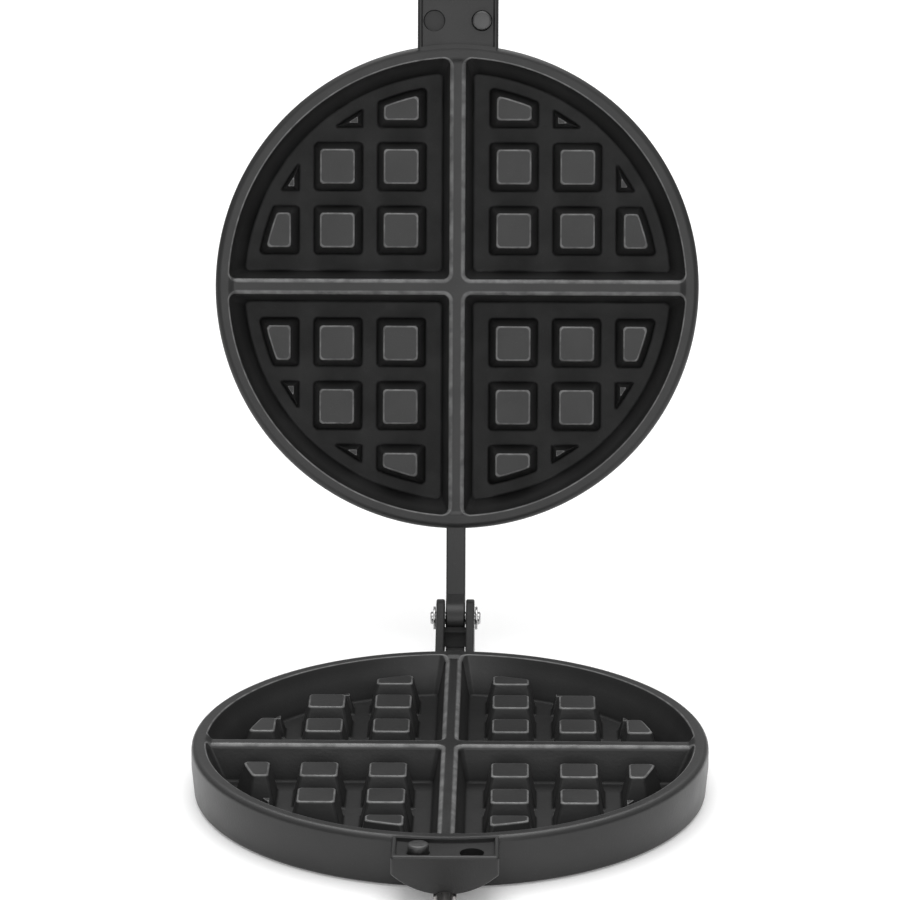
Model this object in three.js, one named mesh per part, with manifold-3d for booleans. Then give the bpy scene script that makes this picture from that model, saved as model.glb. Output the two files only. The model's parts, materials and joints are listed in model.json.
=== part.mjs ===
// Hob waffle iron: two cast waffle moulds on a rear hinge, each with a steel rod handle and a half-round
// grip, and a wire latch that holds the closed grips together.
// Millimetres, +Z up, -Y towards the cook. The origin is the centre of the lower mould's flat underside.
// The iron stands open, leaning back on its hinge stop; turning the upper half about +X closes it.
// Each half is modelled in its own frame: mould axis on Z, rim plane at z = 0, hollow side up, handle
// along -Y, hinge along +Y. The upper half is that frame turned over about Y and opened about the hinge.
import * as THREE from 'three';
import { mergeVertices } from 'three/addons/utils/BufferGeometryUtils.js';
import Module from 'manifold-3d';

const wasm = await Module();
wasm.setup();

// Clearances
const GAP = 0.3; // between pieces that touch
const OVERLAP = 0.5; // of shapes that are joined into one piece
const THROUGH = 5; // of a bore's cutter beyond the faces it opens
const RIM_GAP = 0.4; // between the two rims when the iron is shut
const OPEN_DEGREES = 105; // from shut to resting on the stop

// Mould casting
const RIM_RADIUS = 96;
const BASE_RADIUS = 95;
const MOULD_HEIGHT = 19;
const BASE_CHAMFER = 1.2;
const RIM_ROUND = 2;
const WALL_TOP_RADIUS = 90.7;
const WALL_FOOT_RADIUS = 85.2;
const WALL_EASE = 0.8; // chamfer of the rim's inner edge
const POCKET_DEPTH = 15;
const RING_SEGMENTS = 72;
const BORE_SEGMENTS = 24;
const SMALL_SEGMENTS = 12;
const FITTING_SEGMENTS = 20;

// Cross dividers between the four pockets
const DIVIDER_DROP = 1.2; // of their tops below the rim
const DIVIDER_TOP_HALF = 3.1;
const DIVIDER_FOOT_HALF = 6;
const CROSS_CORNER = 2.4; // web in each corner of the cross

// Pegs that print the waffle's squares
const PEG_OFFSETS = [22.4, 47.7, 73];
const PEG_TOP_HALF = 6.9;
const PEG_FOOT_HALF = 9.8;
const PEG_DROP = 3; // of their tops below the rim
const PEG_CLIP_TOP = 77.2; // the round outline that cuts the outer pegs
const PEG_CLIP_FOOT = 80.3;
const SUNK = 1; // how far dividers and pegs run into the pocket floor

// Front tab, which takes the handle and the locating peg
const TAB = {
  lower: { width: 38, reach: 112 },
  upper: { width: 32, reach: 117 },
};
const TAB_ROOT = 92.5;
const BELLY_RADIUS = 27.5;
const BELLY_DEPTH = 14.7;
const TRAY_DEPTH = 1.3;
const TRAY_WALL = 1.6;
const TRAY_LIP = 2;
const PEG_X = 9.4;
const PEG_Y = 105.4;
const LOCATING_RADIUS = 3.8;
const LOCATING_LENGTH = 9;
const LOCATING_RISE = 2.2; // above the rim plane
const LOCATING_FOOT_EASE = 0.6;
const LOCATING_TIP_EASE = 0.8;
const SOCKET_RADIUS = 4.3;
const SOCKET_DEPTH = 5;

// Hinge
const AXIS_Y = 131.6;
const AXIS_Z = RIM_GAP / 2;
const HUB_RADIUS = 7.5;
const HUB_WRAP = 110; // degrees of the hub's round that an arm's outline follows
const TONGUE_HALF = 3.8;
const EAR_INNER = 4.2;
const EAR_OUTER = 7.6;
const HINGE_ROOT = 92.5;
const ARM_LOW = -MOULD_HEIGHT + 3; // underside of an arm where it leaves the wall
const ARM_BEND_Y = AXIS_Y - 12; // where that underside changes slope
const EAR_TOP = -4; // top of an ear where it leaves the wall
const EAR_SHOULDER_Y = RIM_RADIUS + 8;
const HEEL_EASE = 2; // chamfer of the heel's rear corner
const TONGUE_TOP = -1;
const TONGUE_LOW = -11;
const TONGUE_WRAP = 150;
const TOE_SUNK = 2; // how far the toe runs into the hub
const STOP_INNER = 9;
const STOP_OUTER = 14;
const BRIDGE_DEGREES = [184, 215]; // stop bar between the ears, counted from +Y towards +Z
const TOE_DEGREES = 30; // width of the tongue's toe, which meets the bar from below
const STOP_GAP_DEGREES = 1.6;
const PIN_RADIUS = 2.5;
const PIN_HALF = 10;
const CLIP_RADIUS = 4.6;
const CLIP_THICKNESS = 0.9;
const PIN_TIP = 0.6;

// Handle
const ROD_RADIUS = 2.9;
const PADDLE = { width: 8.2, thickness: 3.2, root: 97.2, beyond: 4 }; // beyond the tab
const ROD_LOW = -15.6;
const ROD_HIGH = -7.5;
const BEND_START = 6; // beyond the tab
const BEND_END = 152;
const BEND_PULL = 0.5; // of its length, how far it stays level at each end
const SCREW_Y = [100.2, 107.6];
const SCREW_RADIUS = 1.5;
const SCREW_HEAD_RADIUS = 2.7;
const SCREW_HEAD_HEIGHT = 1.6;
const SCREW_LENGTH = 10;
const FERRULE = { start: 158, length: 10, tip: 4.6, radius: 6.1, taper: 5.5 };
const GRIP = { start: 168.3, length: 118, radius: 15, flat: -1, corner: 2.5, bevel: 2 };
const GRIP_END = GRIP.start + GRIP.length;
const WASHER = { radius: 5.8, thickness: 1.2 };
const NUT = { radius: 5.2, hex: 4.5, dome: 3.6, bore: 5.5, ledge: 0.2, spare: 1 };

// Latch
const WIRE_RADIUS = 1.25;
const BAIL_HALF = GRIP.radius + WIRE_RADIUS + 0.4;
const BAIL_REACH = 26;
const BAIL_PIVOT_Y = GRIP_END - 6;
const BAIL_INSET = 10.4; // of the wire's turned-in ends from the middle
const BAIL_BEND = 3.5;

const DEGREE = Math.PI / 180;

const nonStick = () => new THREE.MeshStandardMaterial({ color: 0x2b2b2c, roughness: 0.5, metalness: 0.25 });
const steel = () => new THREE.MeshStandardMaterial({ color: 0x9a9a9a, roughness: 0.32, metalness: 1 });
const darkSteel = () => new THREE.MeshStandardMaterial({ color: 0x3c3c3e, roughness: 0.4, metalness: 0.9 });
const phenolic = () => new THREE.MeshStandardMaterial({ color: 0x161616, roughness: 0.42, metalness: 0 });

// ---- solids ----

function solid(geometry) {
  const bare = geometry.clone();
  bare.deleteAttribute('normal');
  bare.deleteAttribute('uv');
  const merged = mergeVertices(bare, 1e-4);
  const vertProperties = merged.attributes.position.array;
  const triVerts = new Uint32Array(merged.index.array);
  return new wasm.Manifold(new wasm.Mesh({ numProp: 3, vertProperties, triVerts }));
}

function geometryOf(body) {
  const mesh = body.getMesh();
  const geometry = new THREE.BufferGeometry();
  geometry.setAttribute('position', new THREE.BufferAttribute(mesh.vertProperties, 3));
  geometry.setIndex(new THREE.BufferAttribute(mesh.triVerts, 1));
  const flat = geometry.toNonIndexed();
  flat.computeVertexNormals();
  return flat;
}

const union = (bodies) => bodies.reduce((whole, body) => whole.add(body));

// A turned solid about Z, from [radius, height] points that run up the outside.
function turned(profile, segments = RING_SEGMENTS) {
  const points = profile.map(([radius, height]) => new THREE.Vector2(radius, height));
  return new THREE.LatheGeometry(points, segments).rotateX(Math.PI / 2);
}

function cylinderZ(radius, low, high, segments = BORE_SEGMENTS) {
  return turned([[0, low], [radius, low], [radius, high], [0, high]], segments);
}

function cylinderX(radius, from, to, y, z, segments = BORE_SEGMENTS) {
  return cylinderZ(radius, from, to, segments).rotateY(Math.PI / 2).translate(0, y, z);
}

// A cylinder along -Y from one distance to another, about the line (0, z).
function cylinderY(radius, from, to, z, segments = SMALL_SEGMENTS) {
  return cylinderZ(radius, from, to, segments).rotateX(Math.PI / 2).translate(0, 0, z);
}

// A square post with drafted sides.
function squareFrustum(topHalf, footHalf, low, high) {
  const reach = Math.SQRT2;
  return new THREE.CylinderGeometry(topHalf * reach, footHalf * reach, high - low, 4)
    .rotateY(Math.PI / 4)
    .rotateX(Math.PI / 2)
    .translate(0, 0, (high + low) / 2);
}

// An outline in (x, z), run along -Y from one distance to another.
function alongY(shape, from, to, options = {}) {
  return new THREE.ExtrudeGeometry(shape, { depth: to - from, bevelEnabled: false, ...options })
    .rotateX(Math.PI / 2)
    .translate(0, -from, 0);
}

// An outline in (y, z), run along X from one place to another.
function alongX(shape, from, to) {
  return new THREE.ExtrudeGeometry(shape, { depth: to - from, bevelEnabled: false })
    .rotateY(Math.PI / 2)
    .rotateX(Math.PI / 2)
    .translate(from, 0, 0);
}

// ---- mould casting ----

function cup() {
  const base = BASE_RADIUS - BASE_CHAMFER;
  const rimRound = [0, 30, 60, 90].map((angle) => [
    RIM_RADIUS - RIM_ROUND + RIM_ROUND * Math.cos(angle * DEGREE),
    -RIM_ROUND + RIM_ROUND * Math.sin(angle * DEGREE),
  ]);
  return solid(turned([
    [0, -MOULD_HEIGHT],
    [base, -MOULD_HEIGHT],
    [BASE_RADIUS, -MOULD_HEIGHT + BASE_CHAMFER],
    ...rimRound,
    [WALL_TOP_RADIUS + WALL_EASE, 0],
    [WALL_TOP_RADIUS, -WALL_EASE],
    [WALL_FOOT_RADIUS, -POCKET_DEPTH],
    [0, -POCKET_DEPTH],
  ]));
}

function divider() {
  const low = -POCKET_DEPTH - SUNK;
  const end = (WALL_TOP_RADIUS + RIM_RADIUS) / 2;
  const section = new THREE.Shape([
    new THREE.Vector2(-DIVIDER_FOOT_HALF, low),
    new THREE.Vector2(DIVIDER_FOOT_HALF, low),
    new THREE.Vector2(DIVIDER_TOP_HALF, -DIVIDER_DROP),
    new THREE.Vector2(-DIVIDER_TOP_HALF, -DIVIDER_DROP),
  ]);
  return alongY(section, -end, end);
}

function cross() {
  const corner = new THREE.CylinderGeometry(
    2 * DIVIDER_TOP_HALF + CROSS_CORNER,
    2 * DIVIDER_FOOT_HALF + CROSS_CORNER,
    POCKET_DEPTH + SUNK - DIVIDER_DROP,
    4,
  );
  corner.rotateX(Math.PI / 2).translate(0, 0, -(POCKET_DEPTH + SUNK + DIVIDER_DROP) / 2);
  return union([solid(divider()), solid(divider().rotateZ(Math.PI / 2)), solid(corner)]);
}

function pegs() {
  const low = -POCKET_DEPTH - SUNK;
  const posts = [];
  for (const x of PEG_OFFSETS) {
    for (const y of PEG_OFFSETS) {
      for (const [sx, sy] of [[1, 1], [1, -1], [-1, 1], [-1, -1]]) {
        const post = squareFrustum(PEG_TOP_HALF, PEG_FOOT_HALF, low, -PEG_DROP);
        posts.push(solid(post.translate(sx * x, sy * y, 0)));
      }
    }
  }
  const top = -PEG_DROP + OVERLAP;
  const clip = turned([[0, low], [PEG_CLIP_FOOT, low], [PEG_CLIP_TOP, top], [0, top]]);
  return union(posts).intersect(solid(clip));
}

// ---- front tab ----

function tab({ width, reach }) {
  const half = width / 2;
  const centre = -BELLY_DEPTH + BELLY_RADIUS;
  const angle = Math.asin(half / BELLY_RADIUS);
  const shield = new THREE.Shape();
  shield.moveTo(half, 0);
  shield.lineTo(-half, 0);
  shield.absarc(0, centre, BELLY_RADIUS, -Math.PI / 2 - angle, -Math.PI / 2 + angle, false);
  return solid(alongY(shield, TAB_ROOT, reach, { curveSegments: 7 }));
}

function tray({ width, reach }) {
  const from = TAB_ROOT;
  const to = reach - TRAY_LIP;
  const hollow = new THREE.BoxGeometry(width - 2 * TRAY_WALL, to - from, 2 * TRAY_DEPTH);
  hollow.translate(0, -(from + to) / 2, 0);
  return solid(hollow).subtract(solid(cylinderZ(RIM_RADIUS, -THROUGH, THROUGH, RING_SEGMENTS)));
}

function tabHoles() {
  const peg = cylinderZ(LOCATING_RADIUS + GAP, LOCATING_RISE - LOCATING_LENGTH - GAP, THROUGH);
  const socket = cylinderZ(SOCKET_RADIUS, -SOCKET_DEPTH, THROUGH);
  const screws = SCREW_Y.map((y) => {
    const low = -BELLY_DEPTH - THROUGH;
    const hole = cylinderZ(SCREW_RADIUS + GAP, low, -BELLY_DEPTH + SCREW_LENGTH, SMALL_SEGMENTS);
    return solid(hole.translate(0, -y, 0));
  });
  return union([
    solid(peg.translate(-PEG_X, -PEG_Y, 0)),
    solid(socket.translate(PEG_X, -PEG_Y, 0)),
    ...screws,
  ]);
}

// ---- hinge parts of the castings ----

function sector(inner, outer, from, to) {
  const shape = new THREE.Shape();
  shape.absarc(0, 0, outer, from * DEGREE, to * DEGREE, false);
  shape.absarc(0, 0, inner, to * DEGREE, from * DEGREE, true);
  return shape;
}

const pinBore = () => {
  const end = PIN_HALF + THROUGH;
  return solid(cylinderX(PIN_RADIUS + GAP, -end, end, AXIS_Y, AXIS_Z));
};

// The outline of an ear in (y, z): along its foot, up the heel, round the hub and back to the wall.
function earOutline() {
  const foot = -MOULD_HEIGHT;
  const heel = AXIS_Y + HUB_RADIUS;
  const shape = new THREE.Shape();
  shape.moveTo(HINGE_ROOT, ARM_LOW);
  shape.lineTo(ARM_BEND_Y, foot);
  shape.lineTo(heel - HEEL_EASE, foot);
  shape.lineTo(heel, foot + HEEL_EASE);
  shape.absarc(AXIS_Y, AXIS_Z, HUB_RADIUS, 0, HUB_WRAP * DEGREE, false);
  shape.lineTo(EAR_SHOULDER_Y, EAR_TOP);
  shape.lineTo(HINGE_ROOT, EAR_TOP);
  return shape;
}

function ears() {
  const outline = earOutline();
  const right = solid(alongX(outline, EAR_INNER, EAR_OUTER));
  const left = solid(alongX(outline, -EAR_OUTER, -EAR_INNER));
  const barEnd = EAR_INNER + OVERLAP;
  const bar = alongX(sector(STOP_INNER, STOP_OUTER, ...BRIDGE_DEGREES), -barEnd, barEnd);
  return union([right, left, solid(bar.translate(0, AXIS_Y, AXIS_Z))]).subtract(pinBore());
}

function tongue() {
  const arm = new THREE.Shape();
  arm.moveTo(HINGE_ROOT, ARM_LOW);
  arm.lineTo(ARM_BEND_Y, TONGUE_LOW);
  arm.absarc(AXIS_Y, AXIS_Z, HUB_RADIUS, -HUB_WRAP * DEGREE, TONGUE_WRAP * DEGREE, false);
  arm.lineTo(AXIS_Y - HUB_RADIUS - TOE_SUNK, TONGUE_TOP);
  arm.lineTo(HINGE_ROOT, TONGUE_TOP);
  const toeStart = OPEN_DEGREES + BRIDGE_DEGREES[1] + STOP_GAP_DEGREES;
  const toe = sector(HUB_RADIUS - TOE_SUNK, STOP_OUTER, 360 - toeStart - TOE_DEGREES, 360 - toeStart);
  const parts = [
    solid(alongX(arm, -TONGUE_HALF, TONGUE_HALF)),
    solid(alongX(toe, -TONGUE_HALF, TONGUE_HALF).translate(0, AXIS_Y, AXIS_Z)),
  ];
  return union(parts).subtract(pinBore());
}

function mould(size, hinge) {
  return cup()
    .add(cross())
    .add(pegs())
    .add(tab(size).subtract(tray(size)))
    .add(hinge)
    .subtract(tabHoles());
}

// ---- small parts ----

function locatingPeg() {
  const low = LOCATING_RISE - LOCATING_LENGTH;
  return turned([
    [0, low],
    [LOCATING_RADIUS - LOCATING_FOOT_EASE, low],
    [LOCATING_RADIUS, low + LOCATING_FOOT_EASE],
    [LOCATING_RADIUS, LOCATING_RISE - LOCATING_TIP_EASE],
    [LOCATING_RADIUS - LOCATING_TIP_EASE, LOCATING_RISE],
    [0, LOCATING_RISE],
  ], FITTING_SEGMENTS).translate(-PEG_X, -PEG_Y, 0);
}

function hingePin() {
  return turned([
    [0, -PIN_HALF],
    [PIN_RADIUS - PIN_TIP, -PIN_HALF],
    [PIN_RADIUS, -PIN_HALF + PIN_TIP],
    [PIN_RADIUS, PIN_HALF - PIN_TIP],
    [PIN_RADIUS - PIN_TIP, PIN_HALF],
    [0, PIN_HALF],
  ], FITTING_SEGMENTS).rotateY(Math.PI / 2).translate(0, AXIS_Y, AXIS_Z);
}

function ring(inner, outer, low, high) {
  const section = [[inner, low], [outer, low], [outer, high], [inner, high], [inner, low]];
  return turned(section, FITTING_SEGMENTS);
}

function hingeClip(side) {
  const from = EAR_OUTER + GAP;
  return ring(PIN_RADIUS + GAP, CLIP_RADIUS, from, from + CLIP_THICKNESS)
    .rotateY((side * Math.PI) / 2)
    .translate(0, AXIS_Y, AXIS_Z);
}

function screw(y) {
  const head = -BELLY_DEPTH - GAP - PADDLE.thickness;
  return turned([
    [0, head],
    [SCREW_HEAD_RADIUS, head],
    [SCREW_RADIUS, head + SCREW_HEAD_HEIGHT],
    [SCREW_RADIUS, head + SCREW_LENGTH],
    [0, head + SCREW_LENGTH],
  ], SMALL_SEGMENTS).translate(0, -y, 0);
}

// ---- handle ----

function paddle(reach) {
  const top = -BELLY_DEPTH - GAP;
  const end = reach + PADDLE.beyond;
  const plate = new THREE.BoxGeometry(PADDLE.width, end - PADDLE.root, PADDLE.thickness);
  plate.translate(0, -(PADDLE.root + end) / 2, top - PADDLE.thickness / 2);
  const holes = SCREW_Y.map((y) => {
    const low = top - PADDLE.thickness;
    return solid(turned([
      [0, low - GAP],
      [SCREW_HEAD_RADIUS + GAP, low - GAP],
      [SCREW_HEAD_RADIUS + GAP, low],
      [SCREW_RADIUS + GAP, low + SCREW_HEAD_HEIGHT],
      [SCREW_RADIUS + GAP, top + GAP],
      [0, top + GAP],
    ], SMALL_SEGMENTS).translate(0, -y, 0));
  });
  return solid(plate).subtract(union(holes));
}

function rodBend(reach) {
  const start = reach + BEND_START;
  const pull = (BEND_END - start) * BEND_PULL;
  const path = new THREE.CubicBezierCurve3(
    new THREE.Vector3(0, -start, ROD_LOW),
    new THREE.Vector3(0, -start - pull, ROD_LOW),
    new THREE.Vector3(0, -BEND_END + pull, ROD_HIGH),
    new THREE.Vector3(0, -BEND_END, ROD_HIGH),
  );
  const section = new THREE.Shape().absarc(0, 0, ROD_RADIUS, 0, 2 * Math.PI, false);
  return new THREE.ExtrudeGeometry(section, { steps: 10, curveSegments: 6, extrudePath: path });
}

function handleRod({ reach }) {
  const neckStart = reach + PADDLE.beyond / 2;
  const rodEnd = GRIP_END + WASHER.thickness + NUT.bore - NUT.spare;
  return union([
    paddle(reach),
    solid(cylinderY(ROD_RADIUS, neckStart, reach + BEND_START + OVERLAP, ROD_LOW)),
    solid(rodBend(reach)),
    solid(cylinderY(ROD_RADIUS, BEND_END - OVERLAP, rodEnd, ROD_HIGH)),
  ]);
}

function ferrule() {
  const bore = ROD_RADIUS + GAP;
  const { start, length, tip, radius, taper } = FERRULE;
  return turned([
    [bore, start],
    [tip, start],
    [radius, start + taper],
    [radius, start + length],
    [bore, start + length],
    [bore, start],
  ], FITTING_SEGMENTS).rotateX(Math.PI / 2).translate(0, 0, ROD_HIGH);
}

// The half-round outline of a grip in (x, z), flat side up, with rounded corners.
function gripOutline() {
  const { radius, flat, corner } = GRIP;
  const swing = Math.asin(corner / (radius - corner));
  const cornerX = (radius - corner) * Math.cos(swing);
  const shape = new THREE.Shape();
  shape.absarc(0, flat, radius, Math.PI + swing, 2 * Math.PI - swing, false);
  shape.absarc(cornerX, flat - corner, corner, -swing, Math.PI / 2, false);
  shape.absarc(-cornerX, flat - corner, corner, Math.PI / 2, Math.PI + swing, false);
  return shape;
}

function grip(pivotHoles) {
  const { start, bevel } = GRIP;
  const bar = alongY(gripOutline(), start + bevel, GRIP_END - bevel, {
    curveSegments: 7,
    bevelEnabled: true,
    bevelThickness: bevel,
    bevelSize: bevel,
    bevelOffset: -bevel,
    bevelSegments: 2,
  });
  const bore = cylinderY(ROD_RADIUS + GAP, start - THROUGH, GRIP_END + THROUGH, ROD_HIGH);
  const body = solid(bar).subtract(solid(bore));
  if (!pivotHoles) return body;
  const holes = [-1, 1].map((side) => {
    const ends = [side * (BAIL_INSET - GAP), side * (GRIP.radius + THROUGH)];
    const [from, to] = ends.sort((a, b) => a - b);
    return solid(cylinderX(WIRE_RADIUS + GAP, from, to, -BAIL_PIVOT_Y, ROD_HIGH, SMALL_SEGMENTS));
  });
  return body.subtract(union(holes));
}

function washer() {
  const from = GRIP_END + GAP;
  return ring(ROD_RADIUS + GAP, WASHER.radius, from, from + WASHER.thickness - GAP)
    .rotateX(Math.PI / 2)
    .translate(0, 0, ROD_HIGH);
}

function capNut() {
  const from = GRIP_END + WASHER.thickness + GAP;
  const hexEnd = from + NUT.hex;
  const hex = turned([[0, from], [NUT.radius, from], [NUT.radius, hexEnd], [0, hexEnd]], 6);
  const domeRadius = NUT.radius * Math.cos(Math.PI / 6) - NUT.ledge;
  const dome = [0, 30, 60, 90].map((angle) => [
    domeRadius * Math.cos(angle * DEGREE),
    hexEnd + NUT.dome * Math.sin(angle * DEGREE),
  ]);
  dome[dome.length - 1][0] = 0;
  const low = hexEnd - OVERLAP;
  const cap = turned([[0, low], [domeRadius, low], ...dome], FITTING_SEGMENTS);
  const bore = cylinderZ(ROD_RADIUS + GAP, from - THROUGH, from + NUT.bore - GAP, SMALL_SEGMENTS);
  return union([solid(hex), solid(cap)])
    .subtract(solid(bore))
    .rotate([90, 0, 0])
    .translate([0, 0, ROD_HIGH]);
}

// The latch wire in its own plane: pivot ends on the X axis, legs along +Y, bar across.
function bailGeometry() {
  const at = (x, y) => new THREE.Vector3(x, y, 0);
  const corner = (x, y, before, after) =>
    new THREE.QuadraticBezierCurve3(at(...before), at(x, y), at(...after));
  const b = BAIL_BEND;
  const h = BAIL_HALF;
  const r = BAIL_REACH;
  const path = new THREE.CurvePath();
  path.add(new THREE.LineCurve3(at(-BAIL_INSET, 0), at(-h + b, 0)));
  path.add(corner(-h, 0, [-h + b, 0], [-h, b]));
  path.add(new THREE.LineCurve3(at(-h, b), at(-h, r - b)));
  path.add(corner(-h, r, [-h, r - b], [-h + b, r]));
  path.add(new THREE.LineCurve3(at(-h + b, r), at(h - b, r)));
  path.add(corner(h, r, [h - b, r], [h, r - b]));
  path.add(new THREE.LineCurve3(at(h, r - b), at(h, b)));
  path.add(corner(h, 0, [h, b], [h - b, 0]));
  path.add(new THREE.LineCurve3(at(h - b, 0), at(BAIL_INSET, 0)));
  const section = new THREE.Shape().absarc(0, 0, WIRE_RADIUS, 0, 2 * Math.PI, false);
  return new THREE.ExtrudeGeometry(section, { steps: 36, curveSegments: 4, extrudePath: path });
}

// ---- assembly ----

function piece(name, shape, material) {
  const geometry = shape.isBufferGeometry ? shape : geometryOf(shape);
  const mesh = new THREE.Mesh(geometry, material);
  mesh.name = name;
  return mesh;
}

function half(name, hinge) {
  const size = TAB[name];
  const group = new THREE.Group();
  group.add(
    piece(`${name}_mould`, mould(size, hinge), nonStick()),
    piece(`${name}_locating_peg`, locatingPeg(), darkSteel()),
    piece(`${name}_handle_rod`, handleRod(size), steel()),
    piece(`${name}_handle_screw_rear`, screw(SCREW_Y[0]), steel()),
    piece(`${name}_handle_screw_front`, screw(SCREW_Y[1]), steel()),
    piece(`${name}_ferrule`, ferrule(), steel()),
    piece(`${name}_grip`, grip(name === 'upper'), phenolic()),
    piece(`${name}_grip_washer`, washer(), steel()),
    piece(`${name}_cap_nut`, capNut(), steel()),
  );
  return group;
}

function latch() {
  const wire = piece('latch_bail', bailGeometry(), steel());
  const back = ROD_HIGH - (GRIP.flat - GRIP.radius - WIRE_RADIUS - GAP);
  wire.position.set(0, -BAIL_PIVOT_Y, ROD_HIGH);
  wire.rotation.x = -Math.asin(back / BAIL_REACH);
  return wire;
}

const lower = half('lower', ears());
lower.position.z = MOULD_HEIGHT;
lower.add(
  piece('hinge_pin', hingePin(), steel()),
  piece('hinge_clip_left', hingeClip(-1), steel()),
  piece('hinge_clip_right', hingeClip(1), steel()),
);

const turnedOver = half('upper', tongue());
turnedOver.add(latch());
turnedOver.rotation.y = Math.PI;
turnedOver.position.set(0, -AXIS_Y, AXIS_Z);

const upper = new THREE.Group();
upper.add(turnedOver);
upper.rotation.x = -OPEN_DEGREES * DEGREE;
upper.position.set(0, AXIS_Y, MOULD_HEIGHT + AXIS_Z);

const waffleIron = new THREE.Group();
waffleIron.add(lower, upper);

export default waffleIron;
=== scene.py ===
# Hob waffle iron, standing open: finished meshes, materials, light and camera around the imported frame.
# Shapes are worked out in millimetres in each half's own frame (mould axis on Z, rim plane at z = 0,
# hollow side up, handle along -Y, hinge along +Y), then carried into the row frame in metres.
import json
import math

import bmesh
import bpy
import numpy as np
from mathutils import Matrix, Vector
from mathutils.geometry import delaunay_2d_cdt, tessellate_polygon
from mathutils.kdtree import KDTree


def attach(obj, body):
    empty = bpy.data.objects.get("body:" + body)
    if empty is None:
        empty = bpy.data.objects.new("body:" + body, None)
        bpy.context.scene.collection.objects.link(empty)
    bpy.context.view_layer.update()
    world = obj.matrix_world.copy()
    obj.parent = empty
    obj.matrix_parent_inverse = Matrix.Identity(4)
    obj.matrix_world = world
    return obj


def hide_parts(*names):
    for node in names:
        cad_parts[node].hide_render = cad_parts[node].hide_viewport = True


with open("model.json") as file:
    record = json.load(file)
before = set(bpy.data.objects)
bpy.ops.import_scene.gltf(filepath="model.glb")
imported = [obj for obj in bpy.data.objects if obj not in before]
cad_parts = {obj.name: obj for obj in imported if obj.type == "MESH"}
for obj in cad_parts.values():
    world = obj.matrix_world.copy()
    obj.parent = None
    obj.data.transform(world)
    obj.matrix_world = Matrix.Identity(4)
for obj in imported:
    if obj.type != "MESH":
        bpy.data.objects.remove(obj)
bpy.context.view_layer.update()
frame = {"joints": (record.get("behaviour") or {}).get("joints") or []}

MM = 0.001

# Mould casting
RIM_RADIUS = 96.0
BASE_RADIUS = 95.0
BASE_FACE_RADIUS = 60.0  # of the flat face in the middle of the underside
BASE_ROUND = 1.3
MOULD_HEIGHT = 19.0
LEAN_Z = -8.0  # height below which the outer wall leans in
RIM_ROUND = 2.2
WALL_TOP_RADIUS = 90.7
WALL_FOOT_RADIUS = 85.2
FLOOR_Z = -15.0
DIVIDER_Z = -1.2
DIVIDER_TOP_HALF = 3.1
DIVIDER_FOOT_HALF = 6.0
DIVIDER_ROUND = 2.2
RIM_INNER_ROUND = 0.8
FLOOR_FILLET = 1.3
EDGE_BAND = 0.3  # width of the narrow faces beside a rounded edge, which keep its paler colour, partly wear and partly a painted highlight, to the edge itself
POCKET_CORNER = 2.4
RAMP = (88.3, 91.1)  # radii between which the divider tops climb to the rim
RAMP_MARGIN = (1.2, 0.7)  # how far the points that carry this climb run past it, inwards and outwards
RAMP_SPACING = (0.4, 0.8)  # of these points, along and across a divider
RAMP_SPREAD = 2.4
RAMP_CLEAR = 0.3  # from these points to a pocket's edge

# Pegs
PEG_OFFSETS = (22.4, 47.7, 73.0)
PEG_FOOT_HALF = 9.58
PEG_TOP_Z = -3.0
PEG_DRAFT = 2.9 / 13
PEG_CLIP = 80.1  # radius of the round outline that cuts the outer pegs, at their feet
PEG_CORNER = 1.5
PEG_ROUND = 0.95
PEG_FILLET = 1.1
PEG_LEAST = 3.0  # a peg that reaches in less than this from the outline is left out
STUB_LEAST = 9.0  # and one that reaches in less than this is a low stub
STUB_TOP_Z = -7.6
STUB_ROUND = 0.3

# Tab, hinge and handle
TAB = {"lower": (38.0, 112.0), "upper": (32.0, 117.0)}
TAB_ROOT = 92.5
TAB_TOP = -0.12  # a hair under the rim plane
TAB_CORNER = 1.2
TAB_LEAST_CORNER = 1.0
TAB_FRONT_ROUND = 1.0
BELLY_RADIUS = 27.5
BELLY_DEPTH = 14.7
TRAY_DEPTH = 1.3
TRAY_WALL = 1.7
TRAY_LIP = 2.0
TRAY_ROOT = 90.0
TRAY_CORNER = 1.0
TRAY_LEAST_CORNER = 0.3
HOLE_MOUTH = 0.4  # easing round a hole's edge
HOLE_ROUND = 0.5  # rounding of its floor
MOUTH_BEND = 0.6  # share of that easing that its two bends take
PROUD = 2.0  # how far a hole's cutter stands above the surface
PEG_X = 9.4
PEG_Y = 105.4
SOCKET_RADIUS = 4.3
SOCKET_DEPTH = 5.0
LOCATING_RADIUS = 3.8
LOCATING_RISE = 2.2
LOCATING_LENGTH = 9.0
LOCATING_HOLE = 7.1  # depth of the hole that the peg is pressed into
LOCATING_MOUTH = 0.2
HUB_RADIUS = 7.5
HUB_WRAP = 110.0  # degrees of the hub's round that an arm's outline follows
ARM_LOW = -MOULD_HEIGHT + 3  # underside of an arm where it leaves the wall
ARM_BEND = 12.0  # from the axis to where that underside changes slope
HEEL_EASE = 2.0
EAR_TOP = -4.0
EAR_SHOULDER_Y = RIM_RADIUS + 8
TONGUE_TOP = -1.0
TONGUE_LOW = -11.0
TONGUE_WRAP = 150.0
TONGUE_SHOULDER = 2.0  # from the hub to where the tongue's top levels out
TONGUE_HALF = 3.8
EAR_INNER = 4.2
EAR_OUTER = 7.6
PIN_RADIUS = 2.5
PIN_HALF = 10.0
CLIP_RADIUS = 4.6
CLIP_THICKNESS = 0.9
HINGE_ROOT = 92.5
STOP_INNER = 9.0
STOP_OUTER = 14.0
BRIDGE = (184, 215)  # degrees round the axis that the stop bar takes, from +Y towards +Z
BRIDGE_SUNK = 1.0  # how far the bar runs into each ear
TOE_DEGREES = 30
TOE_SUNK = 2.0
TOE_INSET = 0.05  # of the toe's sides from the tongue's
STOP_EDGE = 0.3
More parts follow.
